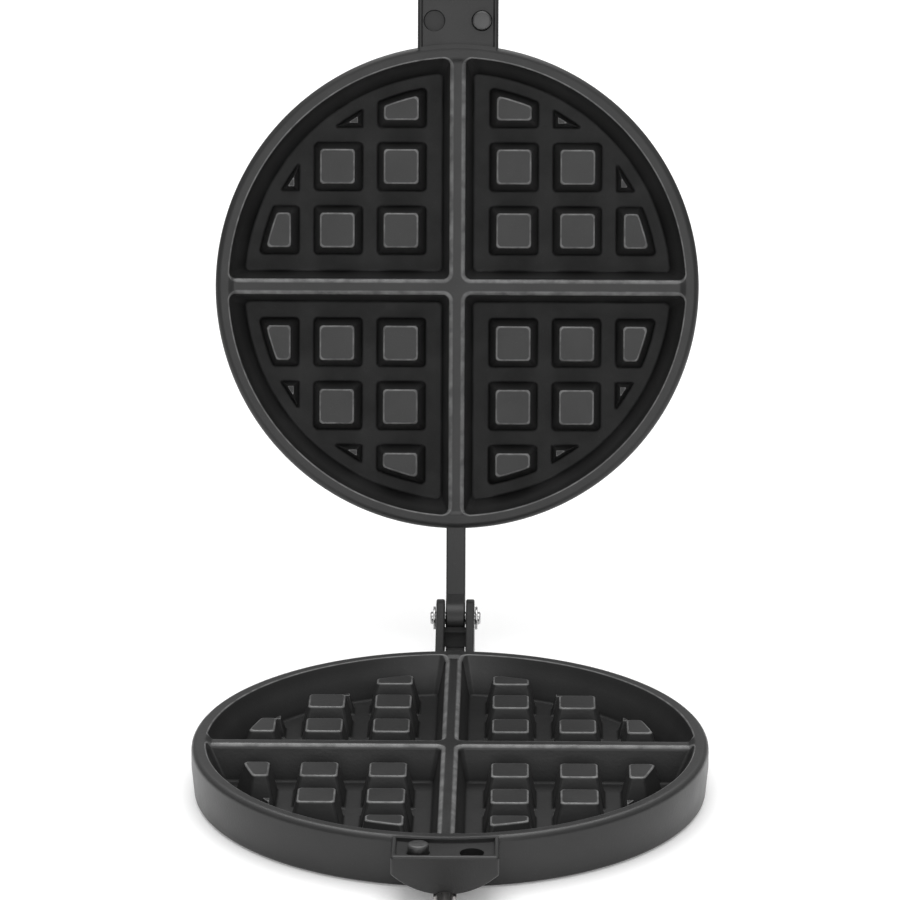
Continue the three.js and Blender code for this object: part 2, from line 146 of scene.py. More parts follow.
STOP_GAP_DEGREES = 1.6
ROD_RADIUS = 2.9
ROD_LOW = -15.6
ROD_HIGH = -7.5
ROD_TIP = 5.7  # how far the rod's threaded end runs past the grip
ROD_TIP_EASE = 0.5
BEND_START = 6.0  # beyond the tab
BEND_END = 152.0
BEND_PULL = 0.5  # of its length, how far the bend stays level at each end
SHANK_START = 160.0
PADDLE_HALF_WIDTH = 4.1  # of the rod's flattened end
PADDLE_HALF_THICK = 1.6
PADDLE_ROOT = ((97.2, 0.75), (97.5, 0.9), (98.2, 1))  # its rounded start, as (distance, share of section)
PADDLE_SHORT = 2.2  # from the paddle's full section to the tab's front
NECK = 4.0  # length over which the paddle becomes the round rod
SQUARE_POWER = 6  # of the paddle's section
ROUND_POWER = 2
GRIP_START = 168.3
GRIP_END = 286.3
GRIP_RADIUS = 15.0
GRIP_FLAT = -1.0
GRIP_CORNER = 2.4
FITTING_BORE = 3.2  # radius of the bores that take the rod
SCREW_Y = (100.2, 107.6)
SCREW_RADIUS = 1.5
SCREW_HEAD_RADIUS = 2.7
SCREW_HEAD_HEIGHT = 1.6
SCREW_LENGTH = 10.0
SCREW_HOLE_RADIUS = 1.8
SINK_RADII = (3.4, 3.0)  # of the paddle's countersinks, just below its surface and at it
PIVOT_Y = GRIP_END - 6
PIVOT_RADIUS = 1.55
PIVOT_INNER = 10.1
SMALL_EASE = 0.25  # rounding of the clips' and washers' edges
GAP = 0.3
GUIDE = 3.0  # length of a straight run that only sets the direction of a rounded corner

LID = next(joint for joint in frame["joints"] if joint["name"] == "lid_hinge")
OPEN = math.radians(LID["range_deg"][1])
HINGE = Vector(LID["pos_m"]) / MM
AXIS_Y = HINGE.y
AXIS_Z = HINGE.z - MOULD_HEIGHT


# ---- places ----

def lower_place():
    return Matrix.Translation((0, 0, MOULD_HEIGHT))


def upper_place():
    turned_over = Matrix.Translation((0, -AXIS_Y, AXIS_Z)) @ Matrix.Rotation(math.pi, 4, "Y")
    return Matrix.Translation(HINGE) @ Matrix.Rotation(-OPEN, 4, "X") @ turned_over


PLACES = {"lower": lower_place(), "upper": upper_place()}


# ---- mesh building ----

def mesh_object(name, vertices, faces):
    mesh = bpy.data.meshes.new(name)
    mesh.from_pydata([tuple(v) for v in vertices], [], [tuple(f) for f in faces])
    made = bpy.data.objects.new(name, mesh)
    bpy.context.scene.collection.objects.link(made)
    face_outwards(made)
    return made


def face_outwards(made):
    bm = bmesh.new()
    bm.from_mesh(made.data)
    bmesh.ops.remove_doubles(bm, verts=bm.verts, dist=1e-4)
    bmesh.ops.recalc_face_normals(bm, faces=bm.faces)
    if bm.calc_volume(signed=True) < 0:
        bmesh.ops.reverse_faces(bm, faces=bm.faces)
    bm.to_mesh(made.data)
    bm.free()


def ring_faces(first, second, count):
    """Quads between two rings of the same number of vertices, given their first indices."""
    return [(first + i, first + (i + 1) % count, second + (i + 1) % count, second + i) for i in range(count)]


def stack(name, rings):
    """A closed solid through rings of points, with its two ends filled."""
    count = len(rings[0])
    vertices = [p for ring in rings for p in ring]
    faces = [list(range(count))[::-1]]
    for k in range(len(rings) - 1):
        faces += ring_faces(k * count, (k + 1) * count, count)
    faces.append(list(range((len(rings) - 1) * count, len(rings) * count)))
    return mesh_object(name, vertices, faces)


def smooth(t):
    return t * t * (3 - 2 * t)


def circle(radius, count=64):
    angles = np.arange(count) * 2 * np.pi / count
    return np.stack([np.cos(angles), np.sin(angles)], 1) * radius


def turned(name, profile, count=64):
    """A turned solid about Z through (radius, height) points, open or closed at the axis, or a ring."""
    is_ring = profile[0] == profile[-1]
    points = profile[:-1] if is_ring else profile
    rings = [[(x, y, h) for x, y in circle(max(r, 1e-3), count)] for r, h in points]
    if not is_ring:
        return stack(name, rings)
    vertices = [p for ring in rings for p in ring]
    faces = []
    for k in range(len(rings)):
        faces += ring_faces(k * count, ((k + 1) % len(rings)) * count, count)
    return mesh_object(name, vertices, faces)


def rounded(points, radii, steps=5):
    """A 2D polyline with each inner corner replaced by an arc of the radius given."""
    made = [tuple(points[0])]
    for before, corner, after, radius in zip(points, points[1:-1], points[2:], radii):
        b, c, a = (np.array(p, float) for p in (before, corner, after))
        u, v = (b - c) / np.linalg.norm(b - c), (a - c) / np.linalg.norm(a - c)
        bend = math.acos(float(np.clip(u @ v, -1, 1)))
        if radius <= 0 or bend > math.pi - 1e-3:
            made.append(tuple(c))
            continue
        reach = radius / math.tan(bend / 2)
        middle = c + (u + v) / np.linalg.norm(u + v) * radius / math.sin(bend / 2)
        start, end = c + u * reach - middle, c + v * reach - middle
        turn = math.pi - bend
        side = np.sign(start[0] * end[1] - start[1] * end[0])
        for k in range(steps + 1):
            angle = side * turn * k / steps
            x = start[0] * math.cos(angle) - start[1] * math.sin(angle)
            y = start[0] * math.sin(angle) + start[1] * math.cos(angle)
            made.append((middle[0] + x, middle[1] + y))
    made.append(tuple(points[-1]))
    return made


def convex_outline(planes, arc, corner, directions):
    """Points round a convex shape with rounded corners, one for each direction. planes are
    (nx, ny, distance), arc is (cx, cy, radius) or None, and corner is the rounding radius."""
    lines = [(nx, ny, d - corner) for nx, ny, d in planes]
    spots = []
    for i, (ax, ay, ad) in enumerate(lines):
        for bx, by, bd in lines[i + 1:]:
            cross = ax * by - ay * bx
            if abs(cross) > 1e-9:
                spots.append(((ad * by - ay * bd) / cross, (ax * bd - ad * bx) / cross))
        if arc:
            cx, cy, radius = arc
            off = ad - (ax * cx + ay * cy)
            chord = (radius - corner) ** 2 - off ** 2
            if chord > 0:
                for side in (1, -1):
                    s = side * math.sqrt(chord)
                    spots.append((cx + ax * off - ay * s, cy + ay * off + ax * s))

    def inside(p):
        within = all(nx * p[0] + ny * p[1] <= d + 1e-6 for nx, ny, d in lines)
        if within and arc:
            within = math.hypot(p[0] - arc[0], p[1] - arc[1]) <= arc[2] - corner + 1e-6
        return within

    spots = [p for p in spots if inside(p)]
    made = []
    for angle in directions:
        n = (math.cos(angle), math.sin(angle))
        choices = list(spots)
        if arc:
            p = (arc[0] + n[0] * (arc[2] - corner), arc[1] + n[1] * (arc[2] - corner))
            if inside(p):
                choices.append(p)
        best = max(choices, key=lambda p: p[0] * n[0] + p[1] * n[1])
        made.append((best[0] + n[0] * corner, best[1] + n[1] * corner))
    return made


def join_shapes(target, others, operation):
    """Unites others with target, or cuts them out of it, and removes them."""
    for other in others:
        step = target.modifiers.new("join", "BOOLEAN")
        step.operation = operation
        step.solver = "MANIFOLD"
        step.object = other
        graph = bpy.context.evaluated_depsgraph_get()
        mesh = bpy.data.meshes.new_from_object(target.evaluated_get(graph))
        target.modifiers.clear()
        target.data = mesh
        bpy.data.objects.remove(other)
    return target


# ---- mould ----

def climb(radius):
    """How far a divider's end has climbed to the rim at a radius, from 0 to 1."""
    return smooth(min(max((radius - RAMP[0]) / (RAMP[1] - RAMP[0]), 0), 1))


def land_height(radius):
    """Height of the dividers and rim: dividers sit low and climb to the rim at their ends."""
    return DIVIDER_Z * (1 - climb(radius))


POCKET_DIRECTIONS = np.radians(np.arange(0, 360, 1.5))
PEG_DIRECTIONS = np.radians(np.arange(0, 360, 5.0))
POCKET_WEAR_HIGHLIGHT = (2, 3, 4)  # rings of a pocket's side and of a peg that lie on a rounded edge, painted paler as wear and as a painted highlight
PEG_WEAR_HIGHLIGHT = (8, 9, 10)


def pocket_side(top_z, slope, edge_round):
    """(inset, height) points down a pocket's side, from its rounded top edge to the fillet at its foot."""
    corners = [(-GUIDE, top_z), (0, top_z), (slope, FLOOR_Z), (slope + GUIDE, FLOOR_Z)]
    side = rounded(corners, [edge_round, FLOOR_FILLET])[1:-1]
    return [(side[0][0] - EDGE_BAND, top_z), *side]


def pocket_rings(sx, sy):
    """Rings of one pocket's wall: well rounded along the dividers, crisper where it meets the rim."""
    straight = pocket_side(DIVIDER_Z, DIVIDER_FOOT_HALF - DIVIDER_TOP_HALF, DIVIDER_ROUND)
    curved = pocket_side(0, WALL_TOP_RADIUS - WALL_FOOT_RADIUS, RIM_INNER_ROUND)
    rings = []
    for (inset, z), (rim_inset, rim_z) in zip(straight, curved):
        planes = [(-sx, 0, -(DIVIDER_TOP_HALF + inset)), (0, -sy, -(DIVIDER_TOP_HALF + inset))]
        corner = POCKET_CORNER - min(inset, 0)
        outline = convex_outline(planes, (0, 0, WALL_TOP_RADIUS - rim_inset), corner, POCKET_DIRECTIONS)
        if not rings:
            shares = [climb(math.hypot(x, y)) for x, y in outline]
        rings.append([(x, y, z + (rim_z - z) * share) for (x, y), share in zip(outline, shares)])
    return rings


def peg_rings(x, y):
    """Rings of one peg, from the floor up, or None where the round outline leaves nothing of it."""
    near = math.hypot(abs(x) - PEG_FOOT_HALF, abs(y) - PEG_FOOT_HALF)
    if near > PEG_CLIP - PEG_LEAST:
        return None
    stub = near > PEG_CLIP - STUB_LEAST
    top, corner, edge = (STUB_TOP_Z, STUB_ROUND, STUB_ROUND) if stub else (PEG_TOP_Z, PEG_CORNER, PEG_ROUND)
    inset_top = (top - FLOOR_Z) * PEG_DRAFT
    corners = [(-GUIDE, FLOOR_Z), (0, FLOOR_Z), (inset_top, top), (inset_top + GUIDE, top)]
    profile = rounded(corners, [PEG_FILLET, edge])[1:-1]
    if not stub:
        profile.append((profile[-1][0] + EDGE_BAND, top))
    rings = []
    for inset, z in profile:
        half = PEG_FOOT_HALF - inset
        planes = [(1, 0, x + half), (-1, 0, half - x), (0, 1, y + half), (0, -1, half - y)]
        outline = convex_outline(planes, (0, 0, PEG_CLIP - inset), corner - min(inset, 0), PEG_DIRECTIONS)
        rings.append([(px, py, z) for px, py in outline])
    return rings


class Surface:
    """Vertices and faces gathered from rings, whose shared rings meet point for point."""

    def __init__(self):
        self.vertices = []
        self.faces = []
        self.worn_and_highlit = []

    def add(self, ring):
        start = len(self.vertices)
        self.vertices += ring
        return start

    def wall(self, rings, worn_and_highlit=()):
        starts = [self.add(ring) for ring in rings]
        self.worn_and_highlit += [point for k in worn_and_highlit for point in rings[k]]
        for a, b in zip(starts, starts[1:]):
            self.faces += ring_faces(a, b, len(rings[0]))
        return starts[0], starts[-1]

    def cap(self, start, count):
        self.faces.append(list(range(start, start + count)))

    def fill(self, outer, holes):
        """Flat faces between an outer ring and holes, all at one height."""
        loops = [outer, *holes]
        flat = [[Vector((*self.vertices[i][:2], 0)) for i in loop] for loop in loops]
        index = [i for loop in loops for i in loop]
        self.faces += [[index[i] for i in face] for face in tessellate_polygon(flat)]

    def fill_land(self, outer, holes, extra):
        """Faces of the rim and dividers, with extra points where the dividers climb to the rim."""
        loops = [outer, *holes]
        index = [i for loop in loops for i in loop]
        edges, start = [], 0
        for loop in loops:
            count = len(loop)
            edges += [(start + i, start + (i + 1) % count) for i in range(count)]
            start += count
        outlines = [np.array([self.vertices[i][:2] for i in hole]) for hole in holes]
        extra = [p for p in extra if not any(holds(outline, p, RAMP_CLEAR) for outline in outlines)]
        index += range(len(self.vertices), len(self.vertices) + len(extra))
        self.vertices += [(x, y, land_height(math.hypot(x, y))) for x, y in extra]
        points = [Vector(self.vertices[i][:2]) for i in index]
        found, _, faces, origins, _, _ = delaunay_2d_cdt(points, edges, [], 0, 1e-5)
        limit = math.hypot(*self.vertices[outer[0]][:2])
        for face in faces:
            middle = np.mean([found[i] for i in face], axis=0)
            if np.hypot(*middle) < limit and not any(holds(outline, middle) for outline in outlines):
                self.faces.append([index[origins[i][0]] for i in face])


def holds(outline, point, margin=1e-6):
    """Whether a convex outline, run anticlockwise and grown by a margin, holds a point."""
    edge = np.roll(outline, -1, axis=0) - outline
    edge = edge / np.maximum(np.linalg.norm(edge, axis=1), 1e-9)[:, None]
    to = point - outline
    return bool(np.all(edge[:, 0] * to[:, 1] - edge[:, 1] * to[:, 0] > -margin))


def ramp_points():
    """Points across each divider's end, where its top climbs to the rim."""
    made = []
    radii = np.arange(RAMP[0] - RAMP_MARGIN[0], RAMP[1] + RAMP_MARGIN[1], RAMP_SPACING[0])
    offsets = np.arange(-RAMP_SPREAD, RAMP_SPREAD + RAMP_SPACING[1] / 2, RAMP_SPACING[1])
    for radius in radii:
        for across in offsets:
            along = math.sqrt(radius ** 2 - across ** 2)
            made += [(along, across), (-along, across), (across, along), (across, -along)]
    return made


def cup(name):
    """The mould as one closed surface: underside, outer wall, rim, dividers, pockets and pegs."""
    surface = Surface()
    outside = rounded(
        [(BASE_FACE_RADIUS, -MOULD_HEIGHT), (BASE_RADIUS, -MOULD_HEIGHT), (RIM_RADIUS, LEAN_Z),
         (RIM_RADIUS, 0), (RIM_RADIUS - RIM_ROUND - EDGE_BAND, 0)],
        [BASE_ROUND, 0, RIM_ROUND],
    )
    count = len(POCKET_DIRECTIONS)
    first, last = surface.wall([[(x, y, z) for x, y in circle(r, count)] for r, z in outside])
    surface.cap(first, count)
    rim = list(range(last, last + count))
    holes = []
    for sx in (1, -1):
        for sy in (1, -1):
            rings = pocket_rings(sx, sy)
            top, foot = surface.wall(rings, POCKET_WEAR_HIGHLIGHT)
            holes.append(list(range(top, top + count)))
            islands = []
            for x in PEG_OFFSETS:
                for y in PEG_OFFSETS:
                    peg = peg_rings(sx * x, sy * y)
                    if peg:
                        low, high = surface.wall(peg, PEG_WEAR_HIGHLIGHT)
                        surface.cap(high, len(PEG_DIRECTIONS))
                        islands.append(list(range(low, low + len(PEG_DIRECTIONS))))
            surface.fill(list(range(foot, foot + count)), islands)
    surface.fill_land(rim, holes, ramp_points())
    return mesh_object(name, surface.vertices, surface.faces), surface.worn_and_highlit


def tab(width, reach):
    """The front tab: a shield section run forward, rounded at its front edge."""
    half = width / 2
    directions = np.radians(np.arange(0, 360, 5.0))
    front = rounded([(0, reach - GUIDE), (0, reach), (GUIDE, reach)], [TAB_FRONT_ROUND])[1:-1]
    levels = [(TAB_ROOT, 0)] + [(y, inset) for inset, y in front]
    rings = []
    for y, inset in levels:
        planes = [(1, 0, half - inset), (-1, 0, half - inset),
                  (0, 1, TAB_TOP - inset), (0, -1, BELLY_DEPTH - inset)]
        arc = (0, BELLY_RADIUS - BELLY_DEPTH, BELLY_RADIUS - inset)
        corner = max(TAB_LEAST_CORNER, TAB_CORNER - inset)
        outline = convex_outline(planes, arc, corner, directions)
        rings.append([(x, -y, z) for x, z in outline])
    return stack("tab", rings)


def cutter(name, outline, depth, mouth):
    """A hole's shape from its outline function: rounded floor, walls, and a mouth that eases the edge."""
    corners = [(GUIDE, -depth), (0, -depth), (0, -mouth), (-mouth, 0), (-mouth, PROUD)]
    profile = rounded(corners, [HOLE_ROUND, mouth * MOUTH_BEND, mouth * MOUTH_BEND])[1:]
    rings = [[(x, y, z) for x, y in outline(inset)] for inset, z in profile]
    return stack(name, rings)


def tray_cutter(width, reach):
    """The tray's hollow, whose inner end follows the rim's round outline."""
    half = width / 2 - TRAY_WALL
    front = reach - TRAY_LIP
    directions = np.radians(np.arange(0, 360, 6.0))

    def outline(inset):
        planes = [(1, 0, half - inset), (-1, 0, half - inset), (0, 1, -TRAY_ROOT), (0, -1, front - inset)]
        return convex_outline(planes, None, max(TRAY_LEAST_CORNER, TRAY_CORNER - inset), directions)

    hollow = cutter("tray", outline, TRAY_DEPTH, HOLE_MOUTH)
    radius, reach_through = RIM_RADIUS + 0.1, 5
    core = turned("core", [(radius, -reach_through), (radius, reach_through)], len(POCKET_DIRECTIONS))
    return join_shapes(hollow, [core], "DIFFERENCE")


def round_cutter(radius, depth, x, y, mouth=HOLE_MOUTH):
    made = cutter("bore", lambda inset: circle(radius - inset, 48), depth, mouth)
    made.data.transform(Matrix.Translation((x, -y, 0)))
    return made


def side_shape(name, outline, low, high, edge=0.7):
    """An outline in (y, z), run along X, with eased edges."""
    area = sum(a[0] * b[1] - a[1] * b[0] for a, b in zip(outline, outline[1:] + outline[:1]))
    points = outline if area > 0 else outline[::-1]
    count = len(points)
    vertices = [(low, y, z) for y, z in points] + [(high, y, z) for y, z in points]
    faces = [list(range(count))[::-1], list(range(count, 2 * count))] + ring_faces(0, count, count)
    made = mesh_object(name, vertices, faces)
    bm = bmesh.new()
    bm.from_mesh(made.data)
    rims = [e for e in bm.edges if abs(e.verts[0].co.x - e.verts[1].co.x) < 1e-6]
    bmesh.ops.bevel(bm, geom=rims, offset=edge, segments=3, profile=0.5, affect="EDGES", clamp_overlap=True)
    bm.to_mesh(made.data)
    bm.free()
    face_outwards(made)
    return made


def arc_points(cy, cz, radius, start, end, steps):
    angles = np.radians(np.linspace(start, end, steps + 1))
    return [(cy + radius * math.cos(a), cz + radius * math.sin(a)) for a in angles]


def sector(inner, outer, start, end, steps=8):
    out = arc_points(AXIS_Y, AXIS_Z, outer, start, end, steps)
    return out + arc_points(AXIS_Y, AXIS_Z, inner, end, start, steps)


def ears():
    """The lower half's two hinge ears, whose heel stands on the hob, and the stop bar between them."""
    back = AXIS_Y + HUB_RADIUS
    outline = [(HINGE_ROOT, ARM_LOW), (AXIS_Y - ARM_BEND, -MOULD_HEIGHT),
               (back - HEEL_EASE, -MOULD_HEIGHT), (back, -MOULD_HEIGHT + HEEL_EASE)]
    outline += arc_points(AXIS_Y, AXIS_Z, HUB_RADIUS, 0, HUB_WRAP, 18)
    outline += [(EAR_SHOULDER_Y, EAR_TOP), (HINGE_ROOT, EAR_TOP)]
    bar_half = EAR_INNER + BRIDGE_SUNK
    bar = side_shape("bar", sector(STOP_INNER, STOP_OUTER, *BRIDGE), -bar_half, bar_half, STOP_EDGE)
    return [side_shape("ear", outline, EAR_INNER, EAR_OUTER),
            side_shape("ear", outline, -EAR_OUTER, -EAR_INNER), bar]


def tongue():
    """The upper half's hinge arm, and its toe, which meets the stop bar when the iron is open."""
    outline = [(HINGE_ROOT, ARM_LOW), (AXIS_Y - ARM_BEND, TONGUE_LOW)]
    outline += arc_points(AXIS_Y, AXIS_Z, HUB_RADIUS, -HUB_WRAP, TONGUE_WRAP, 40)
    outline += [(AXIS_Y - HUB_RADIUS - TONGUE_SHOULDER, TONGUE_TOP), (HINGE_ROOT, TONGUE_TOP)]
    edge = math.degrees(OPEN) + BRIDGE[1] + STOP_GAP_DEGREES
    toe = sector(HUB_RADIUS - TOE_SUNK, STOP_OUTER, 360 - edge - TOE_DEGREES, 360 - edge)
    toe_half = TONGUE_HALF - TOE_INSET
    return [side_shape("arm", outline, -TONGUE_HALF, TONGUE_HALF),
            side_shape("toe", toe, -toe_half, toe_half, STOP_EDGE)]


def mould(half_name, arms):
    """One casting, whole, with its holes; arms are its hinge parts."""
    width, reach = TAB[half_name]
    front = join_shapes(tab(width, reach), [tray_cutter(width, reach)], "DIFFERENCE")
    casting, worn_and_highlit = cup(half_name + "_mould_casting")
    body = join_shapes(casting, [front, *arms], "UNION")
    bore_half = 2 * PIN_HALF
    pin_bore = along_x(turned("bore", [(PIN_RADIUS + GAP, -bore_half), (PIN_RADIUS + GAP, bore_half)], 48))
    holes = [
        round_cutter(SOCKET_RADIUS, SOCKET_DEPTH, PEG_X, PEG_Y),
        round_cutter(LOCATING_RADIUS + GAP, LOCATING_HOLE, -PEG_X, PEG_Y, LOCATING_MOUTH),
        pin_bore,
    ]
    for y in SCREW_Y:
        ends = (-BELLY_DEPTH - 1, -BELLY_DEPTH + SCREW_LENGTH)
        hole = turned("hole", [(SCREW_HOLE_RADIUS, z) for z in ends], 24)
        hole.data.transform(Matrix.Translation((0, -y, 0)))
        holes.append(hole)
    return mark_surface(join_shapes(body, holes, "DIFFERENCE"), worn_and_highlit)


def mark_surface(made, worn_and_highlit, match=0.02):
    """Stores how deep in the pockets each point lies, from 0 to 1 at the floor, which sets the painted pocket
    shade, and whether it lies on a rounded edge painted paler, partly as wear and partly as a painted
    highlight, as it does where it matches one of the listed edge points."""
    tree = KDTree(len(worn_and_highlit))
    for index, point in enumerate(worn_and_highlit):
        tree.insert(point, index)
    tree.balance()
    deep = made.data.attributes.new("pocket_depth", "FLOAT", "POINT")
    rubbed_and_highlit = made.data.attributes.new("edge_wear_highlight", "FLOAT", "POINT")
    for index, vertex in enumerate(made.data.vertices):
        x, y, z = vertex.co
        in_pocket = math.hypot(x, y) < WALL_TOP_RADIUS and z > FLOOR_Z - 1
        deep.data[index].value = z / FLOOR_Z if in_pocket else 0.0
        rubbed_and_highlit.data[index].value = 1.0 if tree.find(vertex.co)[2] < match else 0.0
    return made


# ---- fittings ----

def locating_peg():
    low, high = LOCATING_RISE - LOCATING_LENGTH, LOCATING_RISE
    corners = [(0, low), (LOCATING_RADIUS, low), (LOCATING_RADIUS, high), (0, high)]
    made = turned("locating_peg", rounded(corners, [0.6, 0.9]))
    made.data.transform(Matrix.Translation((-PEG_X, -PEG_Y, 0)))
    return made


def along_x(made):
    made.data.transform(Matrix.Translation((0, AXIS_Y, AXIS_Z)) @ Matrix.Rotation(math.pi / 2, 4, "Y"))
    return made


def along_handle(made):
    made.data.transform(Matrix.Translation((0, 0, ROD_HIGH)) @ Matrix.Rotation(math.pi / 2, 4, "X"))
    return made


def hinge_pin():
    corners = [(0, -PIN_HALF), (PIN_RADIUS, -PIN_HALF), (PIN_RADIUS, PIN_HALF), (0, PIN_HALF)]
    return along_x(turned("hinge_pin", rounded(corners, [0.7, 0.7])))


def hinge_clip(side):
    low, high = sorted((side * (EAR_OUTER + GAP), side * (EAR_OUTER + GAP + CLIP_THICKNESS)))
    bore = PIN_RADIUS + GAP
    corners = [(bore, low), (CLIP_RADIUS, low), (CLIP_RADIUS, high), (bore, high)]
    profile = rounded(corners, [SMALL_EASE] * 2, 3)
    return along_x(turned("hinge_clip", [*profile, profile[0]]))


def screw(y):
    """A countersunk screw, driven up from below, with a cross recess that tapers as it deepens."""
    head = -BELLY_DEPTH - GAP - 2 * PADDLE_HALF_THICK
    neck, tip = head + SCREW_HEAD_HEIGHT, head + SCREW_LENGTH
    corners = [(0, head), (SCREW_HEAD_RADIUS, head), (SCREW_RADIUS, neck), (SCREW_RADIUS, tip), (0, tip)]
    made = turned("screw", rounded(corners, [0.2, 0.3, 0.3], 3), 40)
    slots = []
    wide, narrow, depth, half = 1.5, 0.7, 0.9, 0.32
    recess = [(-wide, head - 1), (wide, head - 1), (narrow, head + depth), (-narrow, head + depth)]
    for turn in (0, 90):
        blade = side_shape("slot", recess, -half, half, 0.05)
        blade.data.transform(Matrix.Rotation(math.radians(turn), 4, "Z"))
        slots.append(blade)
    made = join_shapes(made, slots, "DIFFERENCE")
    made.data.transform(Matrix.Translation((0, -y, 0)))
    return made


def ferrule():
    """The collar in front of the grip, flaring from the rod to the grip's end."""
    start, flared, end = 158, 163.5, 168
    tip, radius = 4.6, 6.1
    corners = [(FITTING_BORE, start), (tip, start), (radius, flared), (radius, end), (FITTING_BORE, end)]
    profile = rounded(corners, [0.5, 3.0, 0.4])
    return along_handle(turned("ferrule", [*profile, profile[0]]))


def washer():
    low, high, radius = GRIP_END + GAP, GRIP_END + 1.2, 5.8
    corners = [(FITTING_BORE, low), (radius, low), (radius, high), (FITTING_BORE, high)]
    profile = rounded(corners, [SMALL_EASE] * 2, 3)
    return along_handle(turned("washer", [*profile, profile[0]]))


def cap_nut():
    """A hexagon with turned-off corners under a dome, on a blind bore."""
    low = GRIP_END + 1.5
    corner, height = 5.2, 4.5
    hexagon = turned("hexagon", [(corner, low), (corner, low + height)], 6)
    turning = [(4.75, -0.01), (5.3, 0.4), (5.3, height - 0.4), (4.6, height + 0.01)]
    cone = turned("cone", [(radius, low + z) for radius, z in turning], 64)
    body = join_shapes(hexagon, [cone], "INTERSECT")
    radius, rise, foot = 4.2, 3.6, 4.4
    quarter = np.linspace(0, math.pi / 2, 12)
    dome = [(radius * math.cos(a), low + foot + rise * math.sin(a)) for a in quarter]
    body = join_shapes(body, [turned("dome", [(radius, low + 3.5), *dome], 48)], "UNION")
    bore = turned("bore", [(FITTING_BORE, low - 1), (FITTING_BORE, low + 5.2)], 32)
    return along_handle(join_shapes(body, [bore], "DIFFERENCE"))


def swept(name, centres, sections, count=40):
    """A solid along centres in the plane x = 0, each section given as (half width, half height, power)."""
    angles = np.arange(count) * 2 * np.pi / count
    centres = np.array(centres, float)
    along = np.gradient(centres, axis=0)
    rings = []
    for (y, z), (dy, dz), (wide, tall, power) in zip(centres, along, sections):
        length = math.hypot(dy, dz)
        ny, nz = -dz / length, dy / length
        ring = []
        for a in angles:
            c, s = math.cos(a), math.sin(a)
            u = math.copysign(abs(c) ** (2 / power), c) * wide
            v = math.copysign(abs(s) ** (2 / power), s) * tall
            ring.append((u, y + ny * v, z + nz * v))
        rings.append(ring)
    return stack(name, rings)


def handle_rod(reach):
    """The rod: a flattened end with two countersunk holes, a neck, a bend up and a straight shank."""
    start = reach + BEND_START
    pull = (BEND_END - start) * BEND_PULL
    flat_z = -BELLY_DEPTH - GAP - PADDLE_HALF_THICK
    flat = np.array([PADDLE_HALF_WIDTH, PADDLE_HALF_THICK, SQUARE_POWER])
    shank = np.array([ROD_RADIUS, ROD_RADIUS, ROUND_POWER])
    centres, sections = [], []
    for y, shrink in PADDLE_ROOT:
        centres.append((-y, flat_z))
        sections.append((PADDLE_HALF_WIDTH * shrink, PADDLE_HALF_THICK * shrink, SQUARE_POWER))
    for t in np.linspace(0, 1, 9):
        drop = max(0, 2 * smooth(t) - 1)
        centres.append((-(reach - PADDLE_SHORT + NECK * t), flat_z + (ROD_LOW - flat_z) * drop))
        sections.append(flat + (shank - flat) * smooth(max(0, 2 * t - 1)))
    for t in np.linspace(0, 1, 33):
        a, b, c, d = (1 - t) ** 3, 3 * t * (1 - t) ** 2, 3 * t * t * (1 - t), t ** 3
        y = a * start + b * (start + pull) + c * (BEND_END - pull) + d * BEND_END
        centres.append((-y, (a + b) * ROD_LOW + (c + d) * ROD_HIGH))
        sections.append(shank)
    end = GRIP_END + ROD_TIP
    for y, ease in ((SHANK_START, 0), (end - ROD_TIP_EASE, 0), (end, ROD_TIP_EASE)):
        centres.append((-y, ROD_HIGH))
        sections.append((ROD_RADIUS - ease, ROD_RADIUS - ease, ROUND_POWER))
    rod = swept("rod", centres, sections)
    low = flat_z - PADDLE_HALF_THICK
    mouth, surface = SINK_RADII
    ease = mouth - surface
    sink = [(mouth, low - ease), (surface, low), (SCREW_HOLE_RADIUS, low + SCREW_HEAD_HEIGHT),
            (SCREW_HOLE_RADIUS, low + 4.5)]
    holes = []
    for y in SCREW_Y:
        hole = turned("hole", sink, 40)
        hole.data.transform(Matrix.Translation((0, -y, 0)))
        holes.append(hole)
    return join_shapes(rod, holes, "DIFFERENCE")


def grip(has_pivots):
    """A half-round grip: flat side up, slimmer towards the mould, with eased ends and a bore for the rod."""
    length = GRIP_END - GRIP_START
    rings = []
    end = np.array([0, 0.003, 0.009, 0.02, 0.035])
    slimming, waist = 2.6, 0.54
    for t in np.concatenate([end, np.linspace(0.06, 0.94, 30), 1 - end[::-1]]):
        slim = slimming * (1 - t) ** 2 + waist * math.sin(math.pi * min(1, t * 1.1)) ** 2
        short = max(0, GRIP_CORNER - min(t, 1 - t) * length)
        ease = GRIP_CORNER - math.sqrt(max(0, GRIP_CORNER ** 2 - short ** 2))
        inset = slim + ease
        planes = [(0, 1, GRIP_FLAT - ease), (0, -1, GRIP_RADIUS - GRIP_FLAT - inset)]
        arc = (0, GRIP_FLAT, GRIP_RADIUS - inset)
        outline = convex_outline(planes, arc, GRIP_CORNER, PEG_DIRECTIONS)
        rings.append([(x, -(GRIP_START + t * length), z) for x, z in outline])
    body = stack("grip", rings)
    bore = turned("bore", [(FITTING_BORE, GRIP_START - 5), (FITTING_BORE, GRIP_END + 5)], 40)
    holes = [along_handle(bore)]
    if has_pivots:
        for side in (-1, 1):
            low, high = sorted((side * PIVOT_INNER, side * (GRIP_RADIUS + 5)))
            hole = turned("pivot", [(PIVOT_RADIUS, low), (PIVOT_RADIUS, high)], 24)
            pivot = Matrix.Translation((0, -PIVOT_Y, ROD_HIGH))
            hole.data.transform(pivot @ Matrix.Rotation(math.pi / 2, 4, "Y"))
            holes.append(hole)
    return join_shapes(body, holes, "DIFFERENCE")


